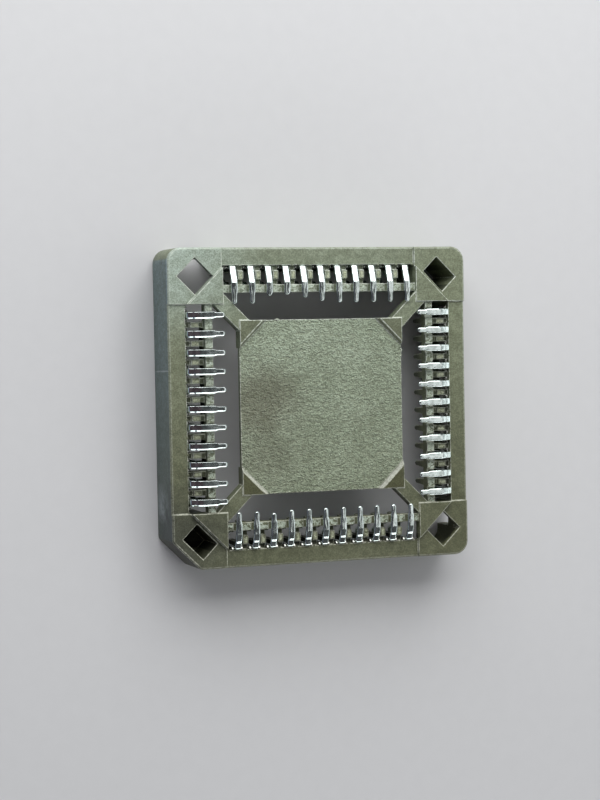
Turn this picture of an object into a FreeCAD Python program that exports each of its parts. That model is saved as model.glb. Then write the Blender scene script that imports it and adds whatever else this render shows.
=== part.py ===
"""PLCC-44 surface-mount chip carrier socket, lying on its open rim with the solder side up.

One moulded housing and 44 formed spring contacts.  Millimetres, +Z towards the solder side,
origin in the middle of the rim plane.  Contacts are numbered as the carrier's leads are.
"""
import FreeCAD, Part
import math
import os
import re
import Sketcher

# Driving dimensions.  The rim plane is z = 0 and the centre of the socket is x = y = 0.
SIZES = {
    # contact grid
    "lead_pitch": 1.27,
    "side_count": 11,
    # distances outwards, each from the one before it
    "end_gap": 0.115,
    "body_margin": 1.315,
    "bar_overlap": 0.45,
    "bar_width": 0.55,
    "cell_depth": 1.32,
    "wall_thickness": 1.23,
    "window_gap": 1.87,
    # outline of the moulding
    "corner_radius": 1.0,
    "index_cut": 1.95,
    "index_radius": 0.45,
    "edge_break": 0.1,
    # heights above the rim plane
    "floor_height": 2.4,
    "band_top": 3.6,
    "corner_rise": 0.15,
    "standoff_top": 4.05,
    # well for the chip carrier
    "rib_depth": 0.42,
    "carrier_fit": 0.1,
    "carrier_cut": 0.35,
    "index_fill": 1.0,
    "lead_in": 0.2,
    # cells round the contacts
    "rib_width": 0.4,
    "rib_step": 0.25,
    "rib_cap": 0.6,
    "cap_gap": 0.36,
    # comb bar between the cells and the open windows
    "bar_rise": 0.2,
    "bar_thickness": 0.78,
    "notch_width": 0.58,
    "notch_depth": 0.12,
    "tooth_root": 0.5,
    "tooth_tip": 0.34,
    "tooth_end": 1.55,
    # centre plate, its corner posts and the struts that carry it
    "plate_top": 3.8,
    "plate_thickness": 0.4,
    "post_leg": 1.95,
    "post_slope": 0.2,
    "post_thickness": 1.0,
    "strut_width": 1.02,
    "strut_drop": 0.1,
    # corner windows, measured along and across the diagonal
    "table_reach": 1.78,
    "extract_length": 1.82,
    "extract_width": 1.8,
    "extract_skin": 0.45,
    "extract_wall": 0.75,
    "extract_round": 0.8,
    "relief_gap": 0.21,
    "relief_length": 1.44,
    "relief_width": 2.0,
    "relief_depth": 3.0,
    "tool_offset": 0.5,
    "tool_width": 1.4,
    "tool_height": 1.9,
    # formed contact strip
    "strip_width": 0.45,
    "strip_thickness": 0.2,
    "tail_reach": 0.74,
    "tail_knee": 0.4,
    "tail_tip_width": 0.32,
    "tail_neck": 0.6,
    "tail_taper": 0.18,
    "tail_cut": 0.09,
    "heel_drop": 0.38,
    "hook_height": 0.4,
    "hook_gap": 0.56,
    "hook_cut": 0.16,
    "bow_reach": 0.25,
    "bow_low": 1.6,
    "bow_high": 2.1,
    "tip_return": 0.33,
    "tip_height": 2.8,
    "knee_bend": 0.6,
    "heel_bend": 0.2,
    "fork_bottom": 2.3,
    "fork_top": 3.62,
    "fork_seat": 3.0,
    "fork_slot": 0.48,
    "fit_gap": 0.02,
}

# Distances from the centre, from the inside outwards.
ROW_END = "(side_count * lead_pitch / 2)"
BLOCK_EDGE = f"({ROW_END} + end_gap)"
CARRIER_FACE = f"({ROW_END} + body_margin)"
BAR_INNER = f"({CARRIER_FACE} - bar_overlap)"
BAR_OUTER = f"({BAR_INNER} + bar_width)"
CELL_FACE = f"({BAR_OUTER} + cell_depth)"
RIB_FACE = f"({CELL_FACE} - rib_depth)"
OUTER_FACE = f"({CELL_FACE} + wall_thickness)"
PLATE_EDGE = f"({BAR_INNER} - window_gap)"
HOLLOW_FACE = f"({OUTER_FACE} - extract_wall)"
STRIP_LINE = f"({CELL_FACE} - fit_gap - strip_thickness / 2)"
TAIL_END = f"({BAR_INNER} - tail_reach)"

# Heights.
BLOCK_TOP = "(band_top + corner_rise)"
BAR_TOP = "(band_top + bar_rise)"
TAIL_LINE = "(standoff_top + strip_thickness / 2)"

# Distances along a diagonal.
BLOCK_CORNER = f"(sqrt(2) * {BLOCK_EDGE})"
EXTRACT_START = f"({BLOCK_CORNER} + table_reach)"
RELIEF_START = f"({EXTRACT_START} + relief_gap)"

doc = FreeCAD.newDocument("chip_carrier_socket")
sheet = doc.addObject("Spreadsheet::Sheet", "sizes")
for row, (alias, number) in enumerate(SIZES.items(), start=1):
    sheet.set(f"A{row}", alias)
    sheet.set(f"B{row}", str(number))
    sheet.setAlias(f"B{row}", alias)
doc.recompute()


def tied(text):
    """The expression with every size name pointed at the spreadsheet."""
    return re.sub(r"[a-z]+_[a-z_]+", lambda word: "sizes." + word.group(), text)


def size(text):
    """The present value of an expression in the size names."""
    return float(sheet.evalExpression(text))


def plane(body, role):
    return next(part for part in body.Origin.OriginFeatures if part.Role == role)


def add_sketch(body, name, role="XY_Plane", lift="0"):
    """A sketch on an origin plane, moved along the plane's normal by a bound distance."""
    sketch = body.newObject("Sketcher::SketchObject", name)
    sketch.AttachmentSupport = [(plane(body, role), "")]
    sketch.MapMode = "FlatFace"
    sketch.setExpression("AttachmentOffset.Base.z", tied(lift))
    return sketch


def hold_point(sketch, line, end, place):
    """Bind a point of the sketch to two expressions, measured from the origin."""
    for kind, text in zip(("DistanceX", "DistanceY"), place):
        number = sketch.addConstraint(Sketcher.Constraint(kind, -1, 1, line, end, size(text)))
        sketch.setExpression(f"Constraints[{number}]", tied(text))


def spot(place):
    return FreeCAD.Vector(size(place[0]), size(place[1]), 0)


def draw_polygon(sketch, corners):
    """A closed outline whose corners are pairs of expressions."""
    spots = [spot(corner) for corner in corners]
    first = sketch.GeometryCount
    for index, start in enumerate(spots):
        sketch.addGeometry(Part.LineSegment(start, spots[(index + 1) % len(spots)]), False)
    for index in range(len(spots)):
        following = first + (index + 1) % len(spots)
        sketch.addConstraint(Sketcher.Constraint("Coincident", first + index, 2, following, 1))
    for index, corner in enumerate(corners):
        hold_point(sketch, first + index, 1, corner)


def draw_box(sketch, left, right, low, high):
    draw_polygon(sketch, [(left, low), (right, low), (right, high), (left, high)])


def draw_diagonal_box(sketch, near, far, width, signs):
    """A rectangle along a diagonal of the socket, from near to far of the centre."""
    corners = []
    for reach, side in ((near, "-"), (far, "-"), (far, "+"), (near, "+")):
        across = f"{signs[0]} * ({reach} {side} {width} / 2) / sqrt(2)"
        opposite = "+" if side == "-" else "-"
        up = f"{signs[1]} * ({reach} {opposite} {width} / 2) / sqrt(2)"
        corners.append((across, up))
    draw_polygon(sketch, corners)


def add_feature(body, kind, sketch, length, reverse):
    """A pad or pocket of a sketch; a length of None goes through everything."""
    feature = body.newObject(f"PartDesign::{kind}", f"{sketch.Name}_{kind.lower()}")
    feature.Profile = sketch
    feature.Refine = False
    feature.Reversed = reverse
    if length is None:
        feature.Type = "ThroughAll"
    else:
        feature.setExpression("Length", tied(length))
    body.Tip = feature
    return feature


def add_pad(body, sketch, length, reverse=False):
    return add_feature(body, "Pad", sketch, length, reverse)


def add_pocket(body, sketch, length=None, reverse=False):
    return add_feature(body, "Pocket", sketch, length, reverse)


def on_four_sides(body, feature):
    """Repeat a feature of one side round the socket."""
    pattern = body.newObject("PartDesign::PolarPattern", f"{feature.Name}_round")
    pattern.Originals = [feature]
    pattern.Axis = (plane(body, "Z_Axis"), [""])
    pattern.Angle = 360
    pattern.Occurrences = 4
    pattern.Refine = False
    body.Tip = pattern
    return pattern


def add_edge_work(body, kind, name, amount, wanted):
    """A fillet or chamfer on the edges that a test picks out of the body as it stands."""
    doc.recompute()
    base = body.Tip
    edges = enumerate(base.Shape.Edges, start=1)
    names = [f"Edge{number}" for number, edge in edges if wanted(edge)]
    feature = body.newObject(f"PartDesign::{kind}", name)
    feature.Base = (base, names)
    feature.Refine = False
    feature.setExpression("Radius" if kind == "Fillet" else "Size", tied(amount))
    body.Tip = feature
    return feature


def same(first, second):
    return abs(first - second) < 1e-4


def is_upright(edge):
    box = edge.BoundBox
    return box.XLength < 1e-4 and box.YLength < 1e-4


def lies_at(edge, height):
    return same(edge.BoundBox.ZMin, height) and same(edge.BoundBox.ZMax, height)


def contact_steps():
    """Places of the contacts along a side, in pitches from its middle."""
    count = round(size("side_count"))
    return [step - (count - 1) / 2 for step in range(count)]


def gap_steps():
    """Places between neighbouring contacts, in pitches from the middle of a side."""
    return [step + 0.5 for step in contact_steps()[:-1]]


def add_outline(body):
    """The block: three round corners, the cut index corner and softened outer edges."""
    sketch = add_sketch(body, "outline")
    draw_polygon(sketch, [
        (f"index_cut - {OUTER_FACE}", f"-{OUTER_FACE}"),
        (OUTER_FACE, f"-{OUTER_FACE}"),
        (OUTER_FACE, OUTER_FACE),
        (f"-{OUTER_FACE}", OUTER_FACE),
        (f"-{OUTER_FACE}", f"index_cut - {OUTER_FACE}"),
    ])
    add_pad(body, sketch, BLOCK_TOP)
    face = size(OUTER_FACE)

    def at_square_corner(edge):
        centre = edge.CenterOfMass
        return is_upright(edge) and same(abs(centre.x), face) and same(abs(centre.y), face)

    add_edge_work(body, "Fillet", "corner_rounds", "corner_radius", at_square_corner)
    cut = face - size("index_cut")

    def at_index_cut(edge):
        centre = edge.CenterOfMass
        return is_upright(edge) and (same(-centre.x, cut) or same(-centre.y, cut))

    add_edge_work(body, "Fillet", "index_rounds", "index_radius", at_index_cut)
    top = size(BLOCK_TOP)
    add_edge_work(body, "Chamfer", "edge_breaks", "edge_break",
                  lambda edge: lies_at(edge, top) or lies_at(edge, 0))


def add_side_bands(body):
    """The four side walls stand a step lower than the corner blocks."""
    sketch = add_sketch(body, "side_band", lift=BLOCK_TOP)
    draw_box(sketch, f"-{BLOCK_EDGE}", BLOCK_EDGE, BLOCK_EDGE, f"{OUTER_FACE} + wall_thickness")
    on_four_sides(body, add_pocket(body, sketch, "corner_rise"))
    face = size(OUTER_FACE)
    top = size("band_top")

    def at_band_edge(edge):
        centre = edge.CenterOfMass
        outside = same(max(abs(centre.x), abs(centre.y)), face)
        return lies_at(edge, top) and outside

    add_edge_work(body, "Chamfer", "band_breaks", "edge_break", at_band_edge)


def add_well(body):
    """The well for the chip carrier, keyed at the index corner, and the openings in its floor."""
    well = add_sketch(body, "well")
    edge = BLOCK_EDGE
    guide = f"({CARRIER_FACE} + carrier_fit)"
    corners = []
    for across, up, cut in ((1, 1, "carrier_cut"), (-1, 1, "carrier_cut"),
                            (-1, -1, "index_fill"), (1, -1, "carrier_cut")):
        quarter = [
            (RIB_FACE, edge),
            (guide, edge),
            (guide, f"({guide} - {cut})"),
            (f"({guide} - {cut})", guide),
            (edge, guide),
            (edge, RIB_FACE),
        ]
        if across * up < 0:
            quarter.reverse()
        corners += [(f"{across} * {x}", f"{up} * {y}") for x, y in quarter]
    draw_polygon(well, corners)
    add_pocket(body, well, "floor_height", reverse=True)
    limit = size(RIB_FACE) + 1e-4

    def at_mouth(edge):
        box = edge.BoundBox
        inside = max(-box.XMin, box.XMax, -box.YMin, box.YMax) < limit
        return lies_at(edge, 0) and inside

    add_edge_work(body, "Chamfer", "mouth_bevel", "lead_in", at_mouth)
    windows = add_sketch(body, "windows")
    inner = []
    for across, up in ((1, 1), (-1, 1), (-1, -1), (1, -1)):
        quarter = [(BAR_OUTER, edge), (edge, edge), (edge, BAR_OUTER)]
        if across * up < 0:
            quarter.reverse()
        inner += [(f"{across} * {x}", f"{up} * {y}") for x, y in quarter]
    draw_polygon(windows, inner)
    add_pocket(body, windows, reverse=True)


def add_corner_tables(body):
    """The raised triangle on the inner half of each corner block."""
    sketch = add_sketch(body, "corner_table", lift="band_top")
    reach = f"(sqrt(2) * {EXTRACT_START} - {BLOCK_EDGE})"
    draw_polygon(sketch, [
        (BLOCK_EDGE, BLOCK_EDGE),
        (reach, BLOCK_EDGE),
        (BLOCK_EDGE, reach),
    ])
    on_four_sides(body, add_pad(body, sketch, "standoff_top - band_top"))


def add_struts(body):
    """Four diagonal arms from the corner blocks to the centre plate."""
    sketch = add_sketch(body, "strut", lift="standoff_top - post_thickness")
    near = f"(sqrt(2) * {PLATE_EDGE} - strut_width)"
    far = f"({BLOCK_CORNER} + strut_width)"
    draw_diagonal_box(sketch, near, far, "strut_width", (1, 1))
    on_four_sides(body, add_pad(body, sketch, "post_thickness - strut_drop"))


def add_plate(body):
    """The flat centre plate, with a thick raised triangle in each corner."""
    plate = add_sketch(body, "plate", lift="plate_top - plate_thickness")
    draw_box(plate, f"-{PLATE_EDGE}", PLATE_EDGE, f"-{PLATE_EDGE}", PLATE_EDGE)
    add_pad(body, plate, "plate_thickness")
    post = add_sketch(body, "post", lift="standoff_top - post_thickness")
    draw_polygon(post, [
        (PLATE_EDGE, PLATE_EDGE),
        (f"{PLATE_EDGE} - post_leg", PLATE_EDGE),
        (PLATE_EDGE, f"{PLATE_EDGE} - post_leg"),
    ])
    on_four_sides(body, add_pad(body, post, "post_thickness"))
    top = size("standoff_top")
    middle = size(f"{PLATE_EDGE} - post_leg / 2")

    def on_slope(edge):
        centre = edge.CenterOfMass
        return lies_at(edge, top) and same(abs(centre.x), middle) and same(abs(centre.y), middle)

    add_edge_work(body, "Chamfer", "post_bevels", "post_slope", on_slope)


def add_corner_holes(body):
    """Hollows and windows for the extraction tool, a through relief and a blind one."""
    hollow = add_sketch(body, "extract_hollow")
    draw_box(hollow, f"-{HOLLOW_FACE}", f"-{BLOCK_EDGE}", BLOCK_EDGE, HOLLOW_FACE)
    draw_box(hollow, BLOCK_EDGE, HOLLOW_FACE, f"-{HOLLOW_FACE}", f"-{BLOCK_EDGE}")
    add_pocket(body, hollow, f"{BLOCK_TOP} - extract_skin", reverse=True)
    face = size(HOLLOW_FACE)

    def at_hollow_corner(edge):
        centre = edge.CenterOfMass
        return is_upright(edge) and same(abs(centre.x), face) and same(abs(centre.y), face)

    add_edge_work(body, "Fillet", "hollow_rounds", "extract_round", at_hollow_corner)
    extract = add_sketch(body, "extract_window", lift="standoff_top")
    for signs in (("-1", "1"), ("1", "-1")):
        far = f"({EXTRACT_START} + extract_length)"
        draw_diagonal_box(extract, EXTRACT_START, far, "extract_width", signs)
    add_pocket(body, extract, f"standoff_top - {BLOCK_TOP} + 2 * extract_skin")
    far = f"({RELIEF_START} + relief_length)"
    relief = add_sketch(body, "relief_window", lift="standoff_top")
    draw_diagonal_box(relief, RELIEF_START, far, "relief_width", (1, 1))
    add_pocket(body, relief)
    index = add_sketch(body, "index_window", lift=BLOCK_TOP)
    draw_diagonal_box(index, RELIEF_START, far, "relief_width", (-1, -1))
    add_pocket(body, index, "relief_depth")
    notch = add_sketch(body, "tool_notch")
    start = f"({BLOCK_EDGE} + tool_offset)"
    end = f"({BLOCK_EDGE} + tool_offset + tool_width)"
    inside = f"({HOLLOW_FACE} - tool_width)"
    outside = f"({OUTER_FACE} + wall_thickness)"
    draw_box(notch, inside, outside, f"-{end}", f"-{start}")
    draw_box(notch, f"-{end}", f"-{start}", inside, outside)
    add_pocket(body, notch, "tool_height", reverse=True)


def add_cells(body):
    """Through cells for the contacts, with a stepped rib between neighbours."""
    trench = add_sketch(body, "trench", lift="band_top")
    cap_start = f"({BAR_OUTER} + cap_gap)"
    draw_box(trench, f"-{BLOCK_EDGE}", BLOCK_EDGE, BAR_OUTER, cap_start)
    draw_box(trench, f"-{BLOCK_EDGE}", BLOCK_EDGE, f"({cap_start} + rib_cap)", CELL_FACE)
    on_four_sides(body, add_pocket(body, trench, "rib_step"))
    cell = add_sketch(body, "cell")
    steps = contact_steps()
    for step in steps:
        left = f"({step} * lead_pitch - (lead_pitch - rib_width) / 2)"
        right = f"({step} * lead_pitch + (lead_pitch - rib_width) / 2)"
        if step == steps[0]:
            left = f"-{BLOCK_EDGE}"
        if step == steps[-1]:
            right = BLOCK_EDGE
        draw_box(cell, left, right, BAR_OUTER, CELL_FACE)
    on_four_sides(body, add_pocket(body, cell, reverse=True))


def add_comb_bar(body):
    """The bar under the tails, notched for each tail, with teeth towards the chip carrier."""
    bar = add_sketch(body, "bar", lift=f"{BAR_TOP} - bar_thickness")
    end = f"({BLOCK_EDGE} + rib_width)"
    draw_box(bar, f"-{end}", end, BAR_INNER, BAR_OUTER)
    on_four_sides(body, add_pad(body, bar, "bar_thickness"))
    notch = add_sketch(body, "tail_notch", lift=BAR_TOP)
    for step in contact_steps():
        left = f"({step} * lead_pitch - notch_width / 2)"
        right = f"({step} * lead_pitch + notch_width / 2)"
        draw_box(notch, left, right, BAR_INNER, BAR_OUTER)
    on_four_sides(body, add_pocket(body, notch, "notch_depth"))
    teeth = add_sketch(body, "tooth", "XZ_Plane", f"-{BAR_OUTER}")
    root = f"({BAR_TOP} - bar_thickness)"
    shoulder = "(tooth_end + tooth_tip / 2)"
    for step in gap_steps():
        middle = f"{step} * lead_pitch"
        draw_polygon(teeth, [
            (f"{middle} - tooth_root / 2", root),
            (f"{middle} - tooth_tip / 2", shoulder),
            (f"{middle} - tooth_tip / 5", "tooth_end"),
            (f"{middle} + tooth_tip / 5", "tooth_end"),
            (f"{middle} + tooth_tip / 2", shoulder),
            (f"{middle} + tooth_root / 2", root),
        ])
    return on_four_sides(body, add_pad(body, teeth, "bar_width"))


def build_housing():
    body = doc.addObject("PartDesign::Body", "housing")
    body.Label = "housing"
    add_outline(body)
    add_side_bands(body)
    add_well(body)
    add_corner_tables(body)
    add_struts(body)
    add_plate(body)
    add_corner_holes(body)
    add_cells(body)
    last = add_comb_bar(body)
    last.Refine = True
    return body


def draw_bent_line(sketch, corners):
    """Straight runs through the corners, with a tangent arc wherever a corner has a radius."""
    spots = [spot(corner) for corner in corners]
    starts = [spots[0]]
    ends = []
    arcs = {}
    for index in range(1, len(corners) - 1):
        corner = spots[index]
        if len(corners[index]) < 3:
            ends.append(corner)
            starts.append(corner)
            continue
        radius = size(corners[index][2])
        inward = (corner - spots[index - 1]).normalize()
        onward = (spots[index + 1] - corner).normalize()
        turn = inward.getAngle(onward)
        reach = radius * math.tan(turn / 2)
        towards = (onward - inward).normalize()
        middle = corner + towards * (radius / math.cos(turn / 2) - radius)
        arcs[index] = Part.Arc(corner - inward * reach, middle, corner + onward * reach)
        ends.append(corner - inward * reach)
        starts.append(corner + onward * reach)
    ends.append(spots[-1])
    lines = [sketch.addGeometry(Part.LineSegment(start, end), False)
             for start, end in zip(starts, ends)]
    hold_point(sketch, lines[0], 1, corners[0])
    hold_point(sketch, lines[-1], 2, corners[-1])
    for index in range(1, len(corners) - 1):
        before, after = lines[index - 1], lines[index]
        if index not in arcs:
            sketch.addConstraint(Sketcher.Constraint("Coincident", before, 2, after, 1))
            hold_point(sketch, before, 2, corners[index])
            continue
        bend = sketch.addGeometry(arcs[index], False)
        arrival = sketch.getPoint(before, 2)
        forwards = sketch.getPoint(bend, 1).distanceToPoint(arrival) < 1e-6
        near, far = (1, 2) if forwards else (2, 1)
        sketch.addConstraint(Sketcher.Constraint("Tangent", before, 2, bend, near))
        sketch.addConstraint(Sketcher.Constraint("Tangent", after, 1, bend, far))
        radius = corners[index][2]
        number = sketch.addConstraint(Sketcher.Constraint("Radius", bend, size(radius)))
        sketch.setExpression(f"Constraints[{number}]", tied(radius))
        point = sketch.addGeometry(Part.Point(spots[index]), True)
        sketch.addConstraint(Sketcher.Constraint("PointOnObject", point, 1, before))
        sketch.addConstraint(Sketcher.Constraint("PointOnObject", point, 1, after))
        hold_point(sketch, point, 1, corners[index])


def build_contact():
    """The contact at the middle of the front side; its strip runs from tail to spring tip."""
    body = doc.addObject("PartDesign::Body", "contact_blank")
    spine = add_sketch(body, "spine", "YZ_Plane")
    arm_foot = f"({STRIP_LINE} - hook_gap)"
    bow = f"({CARRIER_FACE} + bow_reach)"
    draw_bent_line(spine, [
        (f"-{TAIL_END}", TAIL_LINE),
        (f"-({BAR_OUTER} + tail_knee)", TAIL_LINE, "knee_bend"),
        (f"-{STRIP_LINE}", f"({TAIL_LINE} - heel_drop)", "heel_bend"),
        (f"-{STRIP_LINE}", "hook_height + hook_cut"),
        (f"hook_cut - {STRIP_LINE}", "hook_height"),
        (f"-({arm_foot} + hook_cut)", "hook_height"),
        (f"-{arm_foot}", "hook_height + hook_cut"),
        (f"-{bow}", "bow_low"),
        (f"-{bow}", "bow_high"),
        (f"-({bow} + tip_return)", "tip_height"),
    ])
    section = add_sketch(body, "strip_section", "XZ_Plane", TAIL_END)
    draw_box(section, "-strip_width / 2", "strip_width / 2",
             "standoff_top", "standoff_top + strip_thickness")
    strip = body.newObject("PartDesign::AdditivePipe", "strip")
    strip.Profile = section
    strip.Spine = (spine, [])
    strip.Transition = "Right corner"
    body.Tip = strip
    fork = add_sketch(body, "fork", "XZ_Plane", f"{STRIP_LINE} - strip_thickness / 2")
    reach = "((lead_pitch - rib_width) / 2 - fit_gap)"
    draw_polygon(fork, [
        (f"-{reach}", "fork_bottom"),
        (reach, "fork_bottom"),
        (reach, "fork_top"),
        ("fork_slot / 2", "fork_top"),
        ("fork_slot / 2", "fork_seat"),
        ("-fork_slot / 2", "fork_seat"),
        ("-fork_slot / 2", "fork_top"),
        (f"-{reach}", "fork_top"),
    ])
    add_pad(body, fork, "strip_thickness")
    taper = add_sketch(body, "tail_sides", lift="standoff_top + 2 * strip_thickness")
    outside = f"(tail_neck - {TAIL_END})"
    for side in ("-", ""):
        draw_polygon(taper, [
            (f"{side}strip_width / 2", f"-({TAIL_END} + tail_neck + tail_taper)"),
            (f"{side}strip_width", f"-({TAIL_END} + tail_neck + tail_taper)"),
            (f"{side}strip_width", outside),
            (f"{side}tail_tip_width / 2", outside),
            (f"{side}tail_tip_width / 2", f"-({TAIL_END} + tail_neck)"),
        ])
    add_pocket(body, taper, "2 * strip_thickness")
    end = -size(TAIL_END)

    def at_tail_tip(edge):
        return is_upright(edge) and same(edge.CenterOfMass.y, end)

    add_edge_work(body, "Chamfer", "tail_cuts", "tail_cut", at_tail_tip)
    return body


def place_contacts(blank):
    """Copies of the contact round the socket, from the middle of the front side leftwards."""
    count = round(size("side_count"))
    middle = (count - 1) // 2
    copies = []
    for number in range(4 * count):
        side, step = divmod(number + middle, count)
        turn = -90 * side
        shift = middle - step
        copy = doc.addObject("Part::Compound", f"contact_{number + 1:02d}")
        copy.Label = copy.Name
        copy.Links = [blank]
        rotation = FreeCAD.Rotation(FreeCAD.Vector(0, 0, 1), turn)
        copy.Placement = FreeCAD.Placement(FreeCAD.Vector(), rotation)
        away = rotation.multVec(FreeCAD.Vector(shift, 0, 0))
        copy.setExpression("Placement.Base.x", tied(f"{round(away.x)} * lead_pitch"))
        copy.setExpression("Placement.Base.y", tied(f"{round(away.y)} * lead_pitch"))
        copies.append(copy)
    return copies


def check_and_export(parts):
    doc.recompute()
    for thing in doc.Objects:
        if {"Invalid", "Error"} & set(thing.State):
            raise RuntimeError(f"{thing.Name} did not build")
    for part in parts:
        if part.Shape.isNull() or not part.Shape.isValid():
            raise RuntimeError(f"{part.Label} has no valid shape")
    os.makedirs("parts", exist_ok=True)
    for part in parts:
        part.Shape.exportStep(f"parts/{part.Label}.step")
        print(part.Label, len(part.Shape.Solids), round(part.Shape.Volume, 4))


housing = build_housing()
contacts = place_contacts(build_contact())
check_and_export([housing] + contacts)
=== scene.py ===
import math
import random
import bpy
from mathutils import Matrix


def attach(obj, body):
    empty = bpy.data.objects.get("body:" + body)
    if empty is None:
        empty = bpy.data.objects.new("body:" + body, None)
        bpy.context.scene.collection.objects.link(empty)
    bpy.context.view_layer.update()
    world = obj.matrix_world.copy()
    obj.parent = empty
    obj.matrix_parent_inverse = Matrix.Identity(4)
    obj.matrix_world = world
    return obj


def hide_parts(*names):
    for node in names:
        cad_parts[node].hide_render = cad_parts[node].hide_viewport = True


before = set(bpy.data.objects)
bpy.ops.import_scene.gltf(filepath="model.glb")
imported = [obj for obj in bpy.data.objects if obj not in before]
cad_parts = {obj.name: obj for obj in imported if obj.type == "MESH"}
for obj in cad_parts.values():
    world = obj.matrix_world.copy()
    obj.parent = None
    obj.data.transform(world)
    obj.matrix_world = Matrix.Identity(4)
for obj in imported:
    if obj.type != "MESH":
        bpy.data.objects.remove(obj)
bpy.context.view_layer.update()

from types import SimpleNamespace

import bmesh
import bpy
from mathutils import Matrix, Vector, noise

# The camera looks down on the solder side, a little from the left, as the photograph does.
# Its place is in metres over the rim that the socket lies on.
image_height = 800
focal_pixels = 1941.3
camera = bpy.data.objects.new("camera", bpy.data.cameras.new("camera"))
bpy.context.scene.collection.objects.link(camera)
camera.data.sensor_fit = "VERTICAL"
camera.data.sensor_height = 36
camera.data.lens = focal_pixels / image_height * camera.data.sensor_height
camera.data.clip_start = 0.005
camera_place = Vector((-0.047225, 0.005244, 0.129642))
camera_right = Vector((0.939846, -0.018807, 0.341081))
camera_up = Vector((0.029979, 0.999172, -0.027515))
camera_back = camera_right.cross(camera_up)
turned = Matrix((camera_right, camera_up, camera_back)).transposed()
camera.matrix_world = Matrix.Translation(camera_place) @ turned.to_4x4()
bpy.context.scene.camera = camera
bpy.context.scene.view_settings.view_transform = "Standard"

# The floor is a plain pale sheet under the open rim.  It looks nearly white to the camera and
# in the metal, and throws back less light than that, so that the cells stay dark.  Far out,
# where the panels hardly reach it, it glows faintly for the camera alone.


class Shade:
    """A shader socket, so that shader maths can be written as an expression."""

    def __init__(self, tree, socket=None):
        self.tree = tree
        self.socket = socket

    def make(self, kind, settings=None, **inputs):
        """Add a node: its settings first, then the values or links of its sockets.  A socket is
        named with _ for each blank in its name, or by its number after a _."""
        node = self.tree.nodes.new(kind)
        for name, value in (settings or {}).items():
            setattr(node, name, value)
        for name, value in inputs.items():
            entry = int(name[1:]) if name[0] == "_" else name.replace("_", " ")
            if isinstance(value, Shade):
                self.tree.links.new(value.socket, node.inputs[entry])
            else:
                node.inputs[entry].default_value = value
        return node

    def out(self, kind, output=0, settings=None, **inputs):
        """Add a node, and give the one of its outputs that is used."""
        node = self.make(kind, settings, **inputs)
        return Shade(self.tree, node.outputs[output])

    def maths(self, operation, *values):
        inputs = {f"_{index}": value for index, value in enumerate(values)}
        return self.out("ShaderNodeMath", 0, {"operation": operation}, **inputs)

    def vector_maths(self, operation, *others, output="Vector"):
        inputs = {f"_{index}": value for index, value in enumerate((self, *others))}
        return self.out("ShaderNodeVectorMath", output, {"operation": operation}, **inputs)

    def parts(self):
        """The x, y and z of a vector."""
        split = self.make("ShaderNodeSeparateXYZ", Vector=self)
        return [Shade(self.tree, socket) for socket in split.outputs]

    def __add__(self, other):
        return self.maths("ADD", self, other)

    __radd__ = __add__

    def __sub__(self, other):
        return self.maths("SUBTRACT", self, other)

    def __rsub__(self, other):
        return self.maths("SUBTRACT", other, self)

    def __mul__(self, other):
        return self.maths("MULTIPLY", self, other)

    __rmul__ = __mul__

    def __abs__(self):
        return self.maths("ABSOLUTE", self)

    def least(self, other):
        return self.maths("MINIMUM", self, other)

    def most(self, other):
        return self.maths("MAXIMUM", self, other)

    def rise(self, low, high):
        """0 below low, 1 above high, and smooth between; a low over high falls instead."""
        start, end = (0.0, 1.0) if low < high else (1.0, 0.0)
        return self.out("ShaderNodeMapRange", 0, {"interpolation_type": "SMOOTHSTEP"},
                        Value=self, From_Min=min(low, high), From_Max=max(low, high),
                        To_Min=start, To_Max=end)

    def blend(self, first, second):
        """The first colour where self is 0 and the second where it is 1."""
        return self.out("ShaderNodeMix", 2, {"data_type": "RGBA"}, _0=self, _6=first, _7=second)

    def tinted(self, amount, tint):
        """This colour, multiplied by the tint as far as the amount goes from 0 to 1."""
        return self.out("ShaderNodeMix", 2, {"data_type": "RGBA", "blend_type": "MULTIPLY"},
                        _0=amount, _6=self, _7=tint)


def new_material(name):
    """A material without nodes, and the handle through which they are added."""
    material = bpy.data.materials.new(name)
    material.use_nodes = True
    material.node_tree.nodes.clear()
    return material, Shade(material.node_tree)


def add_surface(hand, **inputs):
    """End a material in one principled shader."""
    surface = hand.out("ShaderNodeBsdfPrincipled", **inputs)
    hand.make("ShaderNodeOutputMaterial", Surface=surface)


floor_half = 0.3
floor_mesh = bpy.data.meshes.new("floor")
floor_mesh.from_pydata([(-floor_half, -floor_half, 0), (floor_half, -floor_half, 0),
                        (floor_half, floor_half, 0), (-floor_half, floor_half, 0)],
                       [], [(0, 1, 2, 3)])
floor = bpy.data.objects.new("floor", floor_mesh)
bpy.context.scene.collection.objects.link(floor)
pale_floor, hand = new_material("pale_floor")
paper_place = hand.out("ShaderNodeTexCoord", "Object")
paper_grain = hand.out("ShaderNodeTexNoise", Vector=paper_place, Scale=900.0, Detail=3.0)
dull_colour = paper_grain.blend((0.25, 0.255, 0.26, 1), (0.27, 0.275, 0.28, 1))
pale_colour = paper_grain.blend((0.655, 0.66, 0.665, 1), (0.685, 0.69, 0.695, 1))
camera_ray = hand.out("ShaderNodeLightPath", "Is Camera Ray")
glossy_ray = hand.out("ShaderNodeLightPath", "Is Glossy Ray")
through_ray = hand.out("ShaderNodeLightPath", "Is Transmission Ray")
seen = camera_ray.most(glossy_ray).most(through_ray)
far_out = paper_place.vector_maths("LENGTH", output="Value").rise(0.10, 0.22)
glow_colour = (far_out * camera_ray).blend((0, 0, 0, 1), (0.34, 0.345, 0.35, 1))
add_surface(hand, Base_Color=seen.blend(dull_colour, pale_colour), Roughness=0.9,
            Emission_Color=glow_colour, Emission_Strength=1.0)
floor_mesh.materials.append(pale_floor)

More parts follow.
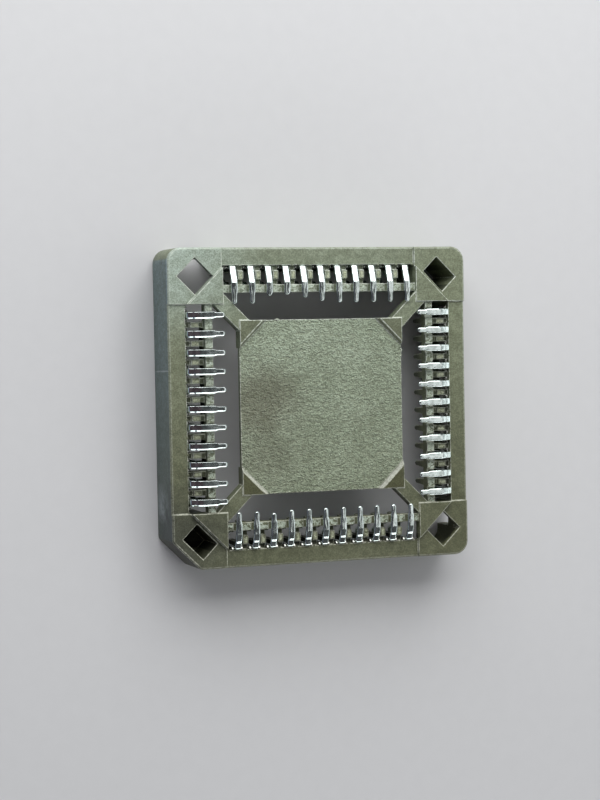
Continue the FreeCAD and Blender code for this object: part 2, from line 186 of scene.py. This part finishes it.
# The light is one large soft panel beyond the top of the picture, with a fainter one at the
# right that the solder tails mirror and a low one at the front that picks out their edges.


def add_panel(name, place, width, height, power):
    """An area light of a size in metres that faces the middle of the socket."""
    data = bpy.data.lights.new(name, "AREA")
    data.shape = "RECTANGLE"
    data.size = width
    data.size_y = height
    data.energy = power
    panel = bpy.data.objects.new(name, data)
    bpy.context.scene.collection.objects.link(panel)
    panel.location = place
    panel.rotation_euler = (-Vector(place)).to_track_quat("-Z", "Y").to_euler()


add_panel("key_panel", (-0.010, 0.136, 0.102), width=0.24, height=0.16, power=0.442)
add_panel("side_panel", (0.130, 0.0, 0.152), width=0.20, height=0.142, power=0.063)
add_panel("low_panel", (0.040, -0.141, 0.030), width=0.19, height=0.052, power=0.074)

# The room round about is grey towards the horizon, bluer on the left, and bright on the far
# right for the edges of the strips to mirror.  Its dark ceiling is what their flat tops mirror.

world = bpy.data.worlds.new("surround")
bpy.context.scene.world = world
world.use_nodes = True
hand = Shade(world.node_tree)
rightward, _, raised = hand.out("ShaderNodeTexCoord", "Generated").parts()
horizon = rightward.rise(0.2, -0.6).blend((0.46, 0.49, 0.54, 1), (0.21, 0.26, 0.39, 1))
horizon = rightward.rise(0.70, 0.92).blend(horizon, (1.30, 1.36, 1.38, 1))
ceiling = rightward.rise(-0.15, -0.45).blend((0.070, 0.072, 0.075, 1), (0.066, 0.048, 0.056, 1))
room = raised.rise(0.20, 0.50).blend(horizon, ceiling)
hand.tree.links.new(room.socket, hand.tree.nodes["Background"].inputs["Color"])

# The housing is one moulding of dark grey-olive thermoplastic, filled with glass fibre.  Its
# centre plate carries the lumpy texture of a spark-eroded mould, a brown stain lies left of the
# plate's middle, and the outer edges and flash lines are pale, partly worn and partly a painted
# highlight.  Painted light makes it lighter towards +Y and at the -X+Y corner and darker towards
# +X, painted highlights lie on the rib tops and two posts' slopes, and painted shade darkens the
# cells' depths, the ribs' roots and the cut corner's wall.

lead_count = 11
lead_pitch = 0.00127
# Outwards from the middle of the socket: the centre plate's edge, both faces of the comb bar,
# the ribs' inner face, the cells' outer wall and the outside, with a corner cut off it.
plate_edge = 0.00598
bar_inner = 0.00785
bar_outer = 0.0084
rib_face = 0.0093
cell_face = 0.00972
outer_face = 0.01095
index_cut = 0.00195
# Heights over the rim: the walls, the centre plate and its corner posts.
band_top = 0.0036
plate_top = 0.0038
post_top = 0.00405


def moulding_place(hand):
    """Where a point of the moulding lies, and the noises that its finish is made from."""
    place = hand.out("ShaderNodeTexCoord", "Object")
    across, along, height = place.parts()
    outwards = abs(across).most(abs(along))
    over_plate = outwards.rise(plate_edge + 1e-5, plate_edge - 1e-5)
    laid = place.vector_maths("MULTIPLY", (0.72, 1.0, 1.0))
    wide = hand.out("ShaderNodeTexNoise", Vector=place, Scale=330.0, Detail=5.0, Roughness=0.6)
    grain = hand.out("ShaderNodeTexNoise", Vector=place, Scale=11000.0, Detail=2.0,
                     Roughness=0.6)
    lumps = hand.out("ShaderNodeTexNoise", Vector=laid, Scale=5900.0, Detail=1.5,
                     Roughness=0.5, Distortion=0.9)
    smudges = hand.out("ShaderNodeTexNoise", Vector=laid, Scale=2300.0, Detail=3.0,
                       Roughness=0.6, Distortion=0.6)
    return SimpleNamespace(
        place=place, across=across, along=along, height=height, outwards=outwards,
        # The rise from -Y to +Y is painted light: colours blended by it are lighter towards +Y,
        # the side the light comes from.
        painted_light_uphill=along.rise(-0.011, 0.011), over_plate=over_plate,
        on_plate=over_plate * abs(height - plate_top).rise(6e-5, 3e-5),
        wide=wide, grain=grain, lumps=lumps, smudges=smudges)


def near(at, spot, full, none):
    """1 within a radius of a spot, falling to 0 at a larger one, with a ragged edge."""
    ragged = 0.004
    gap = at.place.vector_maths("DISTANCE", spot, output="Value")
    return (gap + (at.wide - 0.5) * ragged).rise(none, full)


def frame_colour(at):
    """The outer frame, with painted light: lighter towards +Y and at its -X+Y corner, darker
    towards +X; it is also slightly darker at the -X edge, and darker at the cut corner.
    """
    # Painted light: the frame is lighter towards +Y and darker towards +X; the tint after that
    # makes it slightly darker at the -X edge.
    colour = at.painted_light_uphill.blend((0.119, 0.129, 0.073, 1), (0.217, 0.253, 0.173, 1))
    colour = colour.tinted(at.across.rise(0.004, 0.0105), (0.85, 0.84, 0.76, 1))
    colour = colour.tinted(at.across.rise(-0.0080, -0.0100), (0.96, 0.94, 0.89, 1))
    # A painted pool of light on the top at the -X+Y corner.
    painted_light_corner = near(at, (-0.0105, 0.0105, 0.0037), 0.001, 0.007)
    painted_light_corner = painted_light_corner * at.height.rise(band_top - 3e-4, band_top + 1e-4)
    colour = painted_light_corner.blend(colour, (0.355, 0.430, 0.358, 1))
    # Darker near the cut corner.
    darker_cut_corner = near(at, (-0.0100, -0.0090, 0.0037), 0.001, 0.005)
    return darker_cut_corner.blend(colour, (0.058, 0.063, 0.040, 1))


def plate_colour(at):
    """The centre plate, lighter towards +Y as painted light, with the brown stain left of its
    middle.
    """
    colour = at.painted_light_uphill.blend((0.226, 0.264, 0.174, 1), (0.312, 0.372, 0.270, 1))
    stain = near(at, (-0.0046, 0.0003, plate_top), 0.0010, 0.0040)
    stain = stain.most(near(at, (-0.0044, -0.0034, plate_top), 0.0, 0.0042) * 0.6)
    return (stain * 0.9).blend(colour, (0.155, 0.166, 0.108, 1))


def mark_posts(at, colour):
    """The corner posts on the plate are browner than it and, as painted light, darker towards
    -Y; the slopes of the two posts towards -Y carry a painted highlight.
    """
    on_post = at.over_plate * at.height.rise(plate_top + 3e-5, plate_top + 8e-5)
    # The posts' tint: browner, and darker towards -Y as painted light.
    post_tint = at.painted_light_uphill.blend((0.30, 0.27, 0.04, 1), (0.66, 0.64, 0.58, 1))
    colour = colour.tinted(on_post * 0.75, post_tint)
    # A painted highlight on the slopes of the two posts towards -Y, which face the light.
    slope = on_post * at.height.rise(post_top - 1e-5, post_top - 3e-5)
    slope = slope * at.along.rise(0.0, -0.001)
    return (slope * 0.8).blend(colour, (0.44, 0.46, 0.38, 1))


def mark_cells(at, colour):
    """Bars are pale on top; the rib tops carry a painted highlight, and the ribs' roots and the
    depth of the cells painted shade.
    """
    on_bar = at.outwards.rise(bar_inner - 2e-5, bar_inner + 2e-5)
    on_bar = on_bar * at.outwards.rise(bar_outer + 3e-5, bar_outer - 1e-5)
    on_bar = on_bar * abs(at.height - plate_top).rise(6e-5, 4e-5) * at.lumps.rise(0.40, 0.52)
    colour = (on_bar * 0.8).blend(colour, (0.54, 0.62, 0.51, 1))
    # A painted highlight on the rib tops.
    pitches = abs(at.across).least(abs(at.along)) * (1 / lead_pitch)
    painted_highlight_rib = abs(pitches.maths("FRACT", pitches) - 0.5).rise(0.105, 0.05)
    painted_highlight_rib = painted_highlight_rib * at.outwards.rise(rib_face - 5.0e-4, rib_face - 4.4e-4)
    painted_highlight_rib = painted_highlight_rib * at.outwards.rise(rib_face + 2e-5, rib_face - 4e-5)
    painted_highlight_rib = painted_highlight_rib * at.height.rise(band_top - 8e-5, band_top - 3e-5)
    painted_highlight_rib = painted_highlight_rib * at.lumps.rise(0.30, 0.50)
    colour = (painted_highlight_rib * 0.8).blend(colour, (0.56, 0.60, 0.42, 1))
    inside = at.outwards.rise(cell_face - 1e-5, cell_face - 3e-5)
    # Painted shade, darker deeper in the cells.
    painted_shade_deep = inside * at.height.rise(0.0031, 0.0022)
    colour = colour.tinted(painted_shade_deep * 0.7, (0.32, 0.34, 0.36, 1))
    # Painted shade at the ribs' roots, under the band's top.
    painted_shade_rib_root = inside * at.outwards.rise(rib_face - 8e-5, rib_face + 4e-5)
    painted_shade_rib_root = painted_shade_rib_root * at.height.rise(band_top + 8e-5, band_top + 2e-5)
    painted_shade_rib_root = painted_shade_rib_root * at.along.rise(0.0100, 0.0088)
    return colour.tinted(painted_shade_rib_root * 0.85, (0.25, 0.25, 0.25, 1))


def mottle(at, colour):
    """Patches and speckle all over, smudges off the plate and pits on it."""
    even = (1, 1, 1, 1)
    patches = at.wide.rise(0.30, 0.70).blend((0.90, 0.90, 0.88, 1), (1.09, 1.08, 1.10, 1))
    smudges = at.smudges.rise(0.34, 0.66).blend((0.86, 0.86, 0.84, 1), (1.13, 1.13, 1.15, 1))
    speckle = at.grain.rise(0.36, 0.66).blend((0.78, 0.78, 0.76, 1), (1.22, 1.22, 1.24, 1))
    pits = at.lumps.rise(0.34, 0.62).blend((0.80, 0.79, 0.76, 1), (1.15, 1.16, 1.17, 1))
    for layer in (patches, at.on_plate.blend(smudges, even), speckle,
                  at.on_plate.blend(even, pits)):
        colour = colour.tinted(1.0, layer)
    return colour


def blue_light_and_scuff_side(at, colour):
    """The -X wall is tinted bluish, partly its own tone and partly painted blue light; it is
    scuffed near the cut corner and scratched past its middle.
    """
    side_wall = at.across.rise(5e-5 - outer_face, 1e-5 - outer_face)
    scuff = near(at, (-outer_face, -0.0067, 0.0014), 0.0003, 0.0022) * at.wide.rise(0.42, 0.60)
    scratch = abs(at.along - 0.00255 - at.height * 0.02).rise(7e-5, 3e-5)
    scratch = scratch * at.height.rise(0.0002, 0.0008) * at.grain.rise(0.35, 0.45)
    # The bluish tint is partly painted blue light.
    colour = colour.tinted(side_wall, (0.79, 0.94, 1.36, 1))
    return (side_wall * scuff.most(scratch) * 0.8).blend(colour, (0.40, 0.44, 0.44, 1))


def rub_and_highlight_edges(at, colour):
    """Edges are pale in blotches, partly rubbed wear and partly a painted highlight, and paler
    towards +Y as painted light; the outermost ones less than the others.
    """
    rubbed_and_highlit = at.lumps.rise(0.34, 0.56) * 0.75 + 0.25
    rubbed_and_highlit = rubbed_and_highlit * (1.0 - at.outwards.rise(0.0105, 0.0107) * 0.6)
    pale = at.painted_light_uphill.blend((0.44, 0.45, 0.36, 1), (0.60, 0.65, 0.56, 1))
    return rubbed_and_highlit.blend(colour, pale)


def add_moulding(name, finish):
    """The moulded plastic, whose last marks come from one of the two functions above."""
    material, hand = new_material(name)
    at = moulding_place(hand)
    colour = at.on_plate.blend(frame_colour(at), plate_colour(at))
    colour = mark_cells(at, mark_posts(at, colour))
    # Painted shade on the wall of the cut corner, which faces away from the light.
    cut_line = 2 * outer_face - index_cut
    painted_shade_cut_wall = (at.across + at.along).rise(5e-5 - cut_line, 1e-5 - cut_line)
    colour = colour.tinted(painted_shade_cut_wall, (0.50, 0.50, 0.50, 1))
    colour = finish(at, mottle(at, colour))
    relief = at.on_plate * at.lumps + at.grain * 0.07 + at.wide * 0.15
    bump = hand.out("ShaderNodeBump", Height=relief, Distance=2.1e-4, Strength=1.0)
    add_surface(hand, Base_Color=colour, Roughness=0.46 + at.grain * 0.16, Normal=bump,
                Specular_IOR_Level=0.5)
    return material


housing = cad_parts["housing"]
olive_moulding = add_moulding("olive_moulding", blue_light_and_scuff_side)
# The second moulding is the pale edge one: partly wear, partly a painted highlight.
worn_and_highlit_moulding = add_moulding("worn_and_highlit_moulding", rub_and_highlight_edges)
for slot in housing.material_slots:
    slot.material = olive_moulding
housing.data.materials.append(worn_and_highlit_moulding)
weld = housing.modifiers.new("joined", "WELD")
weld.merge_threshold = 1e-7
flat = housing.modifiers.new("flat_faces", "DECIMATE")
flat.decimate_type = "DISSOLVE"
flat.angle_limit = math.radians(1)
soft = housing.modifiers.new("soft_edges", "BEVEL")
soft.width = 5e-5
soft.segments = 2
soft.limit_method = "ANGLE"
soft.angle_limit = math.radians(35)
soft.use_clamp_overlap = False
soft.harden_normals = True
# The bevel's faces take the pale edge moulding: partly wear, partly a painted highlight.
soft.material = len(housing.material_slots) - 1

# Flash: small crumbs of plastic left where the mould closed, of the same moulding.  One sits
# at the outer end of most ribs, and larger ones on the plate's rim and at a strut's root.


def add_crumb(mesh, middle, radii, seed, worn_and_highlit):
    """One lumpy crumb, wider than high, half sunk in the surface that it grew on."""
    made = bmesh.ops.create_icosphere(mesh, subdivisions=2, radius=1.0)
    for face in {face for vertex in made["verts"] for face in vertex.link_faces}:
        # Slot 1 is the pale edge moulding, partly wear and partly a painted highlight.
        face.material_index = 1 if worn_and_highlit else 0
    for vertex in made["verts"]:
        swell = 1.0 + 0.45 * noise.noise(vertex.co * 1.6 + Vector((seed, 0, 0)))
        vertex.co = Vector(middle) + Vector(
            (radius * swell * part for radius, part in zip(radii, vertex.co)))


flash_mesh = bmesh.new()
chance = random.Random(4)
for side in range(4):
    turn = Matrix.Rotation(side * math.pi / 2, 3, "Z")
    for rib in range(lead_count + 1):
        if chance.random() < 0.8:
            aside = (rib - lead_count / 2) * lead_pitch + chance.uniform(-1e-4, 1e-4)
            middle = turn @ Vector((aside, cell_face, band_top - 2e-5))
            size = chance.uniform(6e-5, 1.1e-4)
            add_crumb(flash_mesh, middle, (size, size, 5e-5), 7.3 * rib + side, False)
large_crumbs = (
    ((-0.00322, 0.00598, 0.00378), (1.6e-4, 9e-5, 7e-5)),
    ((0.00596, 0.00370, 0.00378), (8e-5, 1.6e-4, 7e-5)),
    ((0.00596, 0.00335, 0.00378), (7e-5, 1.1e-4, 6e-5)),
    ((0.00718, 0.00722, 0.00392), (1.4e-4, 1.2e-4, 9e-5)))
for number, (middle, radii) in enumerate(large_crumbs):
    add_crumb(flash_mesh, middle, radii, 40.0 + 3 * number, True)
data = bpy.data.meshes.new("moulding_flash")
flash_mesh.to_mesh(data)
flash_mesh.free()
data.polygons.foreach_set("use_smooth", [True] * len(data.polygons))
data.materials.append(olive_moulding)
data.materials.append(worn_and_highlit_moulding)
flash = bpy.data.objects.new("moulding_flash", data)
bpy.context.scene.collection.objects.link(flash)
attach(flash, "root")

# The contacts are stamped from tin-plated copper alloy strip and formed: solder tail, heel,
# retention fork, hook and sprung arm.  The press rolls the edges of the strip over, so its flat
# top mirrors a dark ceiling between bright rims.  Each is pressed in from the solder side.

# Outwards from the middle of the socket: the tail's tip, the upright, and the arm behind it.
tail_tip = 0.00711
strip_line = 0.0096
hook_foot = 0.009115
arm_bow = 0.00855
arm_end = 0.00822
# Heights over the rim, of the strip's middle and of the fork.
tail_line = 0.00415
heel_height = 0.00377
hook_height = 0.0004
bow_low = 0.0016
bow_high = 0.0021
arm_top = 0.0028
fork_bottom = 0.0023
fork_seat = 0.0030
prong_root = 0.0029
# The heel's slope has two slight kinks: how far down it they are, as a share, and their heights.
kinks = ((0.45, 0.003994), (0.58, 0.003913))
# The strip's section, which is wider past the tail, and the fork's.
strip_half = 1e-4
tail_half_width = 1.6e-4
width_gain = 6.5e-5
under_break = 2.5e-5
fork_half_width = 4.15e-4
fork_half_slot = 2.4e-4
fork_half_thickness = 9.6e-5
prong_fall = 9e-5


def bent_line(corners, steps):
    """Points along a line whose corners are (out, height, radius of the bend)."""
    points = []
    for index, (out, height, radius) in enumerate(corners):
        here = Vector((out, height))
        if not radius:
            points.append(here)
            continue
        before = (Vector(corners[index - 1][:2]) - here).normalized()
        after = (Vector(corners[index + 1][:2]) - here).normalized()
        half = before.angle(after) / 2
        middle = here + (before + after).normalized() * radius / math.sin(half)
        reach = radius / math.tan(half)
        first = here + before * reach - middle
        last = here + after * reach - middle
        start = math.atan2(first.y, first.x)
        swing = (math.atan2(last.y, last.x) - start + math.pi) % (2 * math.pi) - math.pi
        for step in range(steps + 1):
            angle = start + swing * step / steps
            points.append(middle + Vector((math.cos(angle), math.sin(angle))) * radius)
    return points


def contact_line(short, knee):
    """The middle of one contact's strip, from the tip of its tail to the end of its arm."""
    tip = [(tail_tip + short + step, tail_line, 0)
           for step in (0, 1.2e-5, 3.5e-5, 7e-5, 1.1e-4, 1.6e-4)]
    neck = [(tail_tip + step, tail_line, 0)
            for step in (4.0e-4, 5.8e-4, 6.4e-4, 6.9e-4, 7.4e-4, 8.0e-4, 1.1e-3)
            if step > short + 2e-4]
    bend = [(knee, tail_line, 6e-4)]
    slope = [(knee + share * (strip_line - knee), height, 1e-4) for share, height in kinks]
    upright = [(strip_line, heel_height, 1e-4), (strip_line, hook_height, 2.5e-4)]
    arm = [(hook_foot, hook_height, 2e-4), (arm_bow, bow_low, 3e-4),
           (arm_bow, bow_high, 3e-4), (arm_end, arm_top, 0)]
    return bent_line(tip + neck + bend + slope + upright + arm, 6)


def ease(low, high, value):
    """0 up to low, 1 from high on, and smooth between."""
    part = min(max((value - low) / (high - low), 0), 1)
    return part * part * (3 - 2 * part)


def rounded(value, radius):
    """0 at the foot of a quarter circle, rising along it to 1 at its radius and beyond."""
    left = 1 - min(value / radius, 1)
    return math.sqrt(max(0, 1 - left * left))


def strip_ring(half_width, drop, sheared):
    """The strip's section as (across, through) pairs: its top edges are rolled over, or one
    of them slopes where the press has sheared it."""
    top = strip_half - drop
    ring = [(half_width, under_break - strip_half)]
    for side in (1, -1):
        if sheared and side == -1:
            edge = half_width * 0.43
            fall = edge * 0.78
            arc = [(edge * part - half_width, top - fall * (1 - part))
                   for part in (0.0, 0.1, 0.5, 0.9, 1.0)]
        else:
            edge = 2.2e-5 if sheared else min(9.5e-5, half_width * 0.8)
            fall = edge * 0.74
            angles = [step * math.pi / 8 for step in range(5)]
            arc = [(side * (half_width - edge + edge * math.cos(angle)),
                    top - fall + fall * math.sin(angle)) for angle in angles]
        arc.append((side * (half_width - edge) * 0.9, top))
        ring += arc if side == 1 else arc[::-1]
    ring += [(-half_width, under_break - strip_half), (under_break - half_width, -strip_half),
             (half_width - under_break, -strip_half)]
    return ring


def sweep_strip(mesh, short, knee, sheared, chance):
    """Draw the strip along its line.  Its tail narrows to a rounded tip, and stands a little
    aside and low by chance, because a tail bends before it is soldered."""
    line = contact_line(short, knee)
    skew = chance.uniform(-2.5e-5, 2.5e-5)
    lift = chance.uniform(-3e-5, 5e-6)
    tail_length = knee - tail_tip - short
    past_tail = 1.0
    previous = None
    for index, point in enumerate(line):
        ahead = line[min(index + 1, len(line) - 1)] - line[max(index - 1, 0)]
        ahead.normalize()
        normal = Vector((-ahead.y, ahead.x))
        inward = point.x - tail_tip - short if point.y > heel_height else past_tail
        width = tail_half_width + width_gain * ease(5.8e-4, 8.0e-4, inward + short)
        width *= 0.35 + 0.65 * rounded(inward, 1.6e-4)
        drop = 6e-5 * (1 - rounded(inward, 1.1e-4))
        free = 1 - ease(0, tail_length - 1e-4, inward)
        ring = []
        for across, through in strip_ring(width, drop, sheared):
            place = point + normal * through
            ring.append(mesh.verts.new((across + skew * free, place.x, place.y + lift * free)))
        if previous:
            for first in range(len(ring)):
                second = (first + 1) % len(ring)
                mesh.faces.new((previous[first], previous[second], ring[second], ring[first]))
        else:
            mesh.faces.new(ring)
        previous = ring
    mesh.faces.new(previous[::-1])


def add_block(mesh, across, heights, fall=0.0):
    """A pressed block of the fork, its edges rounded by the tool.  Its top can fall towards
    the middle of the socket."""
    low = Vector((across[0], strip_line - fork_half_thickness, heights[0]))
    high = Vector((across[1], strip_line + fork_half_thickness, heights[1]))
    middle = (low + high) / 2
    made = bmesh.ops.create_cube(mesh, size=1.0)
    for vertex in made["verts"]:
        vertex.co = middle + vertex.co * (high - low)
        if vertex.co.z > middle.z and vertex.co.y < middle.y:
            vertex.co.z -= fall
    edges = list({edge for vertex in made["verts"] for edge in vertex.link_edges})
    bmesh.ops.bevel(mesh, geom=edges, offset=4.5e-5, segments=3, affect="EDGES", profile=0.5)


def contact_mesh(name, short, knee, fork_top, sheared, chance):
    """One contact: local x across the strip, y outwards from the socket's middle, z up."""
    mesh = bmesh.new()
    sweep_strip(mesh, short, knee, sheared, chance)
    add_block(mesh, (-fork_half_width, fork_half_width), (fork_bottom, fork_seat))
    for side in (-1, 1):
        prong = sorted((side * fork_half_slot, side * fork_half_width))
        add_block(mesh, prong, (prong_root, fork_top), prong_fall)
    bmesh.ops.recalc_face_normals(mesh, faces=mesh.faces)
    data = bpy.data.meshes.new(name)
    mesh.to_mesh(data)
    mesh.free()
    data.polygons.foreach_set("use_smooth", [True] * len(data.polygons))
    return data


tin_plate, hand = new_material("tin_plate")
strip_place = hand.out("ShaderNodeTexCoord", "Object")
across, outward, _ = strip_place.parts()
varied = strip_place.vector_maths("ADD", hand.out("ShaderNodeObjectInfo", "Random") * 0.9)
drawn = varied.vector_maths("MULTIPLY", (1.0, 0.25, 0.6))
streaks = hand.out("ShaderNodeTexNoise", Vector=drawn, Scale=3900.0, Detail=1.0,
                   Distortion=1.0)
smear = hand.out("ShaderNodeTexNoise", Vector=varied, Scale=2600.0, Detail=1.0)
tin_colour = smear.rise(0.35, 0.65).blend((0.58, 0.65, 0.62, 1), (0.85, 0.94, 0.91, 1))
# Painted shade on the forks, which darkens what they mirror.
painted_shade_fork = abs(across).rise(0.000225, 0.000245) * outward.rise(0.0090, 0.0092)
tin_colour = painted_shade_fork.blend(tin_colour, (0.42, 0.42, 0.39, 1))
tin_bump = hand.out("ShaderNodeBump", Height=streaks + smear * 0.15, Distance=1.7e-5,
                    Strength=1.0)
add_surface(hand, Base_Color=tin_colour, Metallic=1.0, Roughness=0.08 + smear * 0.12,
            Normal=tin_bump)

# By the side that a row of contacts is on: where its tails bend down, the top of its forks, and
# how much some of its tails have lost, by their place in the row from the -X side.
rows = {
    (1, 0): (0.0088, 0.00338, {}),
    (-1, 0): (0.0088, 0.00338, {}),
    (0, 1): (0.00848, 0.00338, {2: 5.2e-4, 3: 5.8e-4, 4: 3.6e-4, 5: 1.2e-4}),
    (0, -1): (0.00862, 0.00370, {2: 1.6e-4}),
}
up = Vector((0, 0, 1))
for name, node in sorted(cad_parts.items()):
    if not name.startswith("contact"):
        continue
    box = [node.matrix_world @ Vector(corner) for corner in node.bound_box]
    middle = sum(box, Vector()) / len(box)
    if abs(middle.x) > abs(middle.y):
        out = Vector((math.copysign(1, middle.x), 0, 0))
    else:
        out = Vector((0, math.copysign(1, middle.y), 0))
    side = out.cross(up)
    knee, fork_top, lost = rows[round(out.x), round(out.y)]
    short = lost.get(round(middle.x / lead_pitch) + lead_count // 2, 0.0)
    on_left = out.x < 0
    data = contact_mesh("formed_" + name, short, knee, fork_top, on_left, random.Random(name))
    data.materials.append(tin_plate)
    piece = bpy.data.objects.new("formed_" + name, data)
    bpy.context.scene.collection.objects.link(piece)
    piece.matrix_world = (Matrix.Translation(side * middle.dot(side))
                          @ Matrix((side, out, up)).transposed().to_4x4())
    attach(piece, "root")
    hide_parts(name)
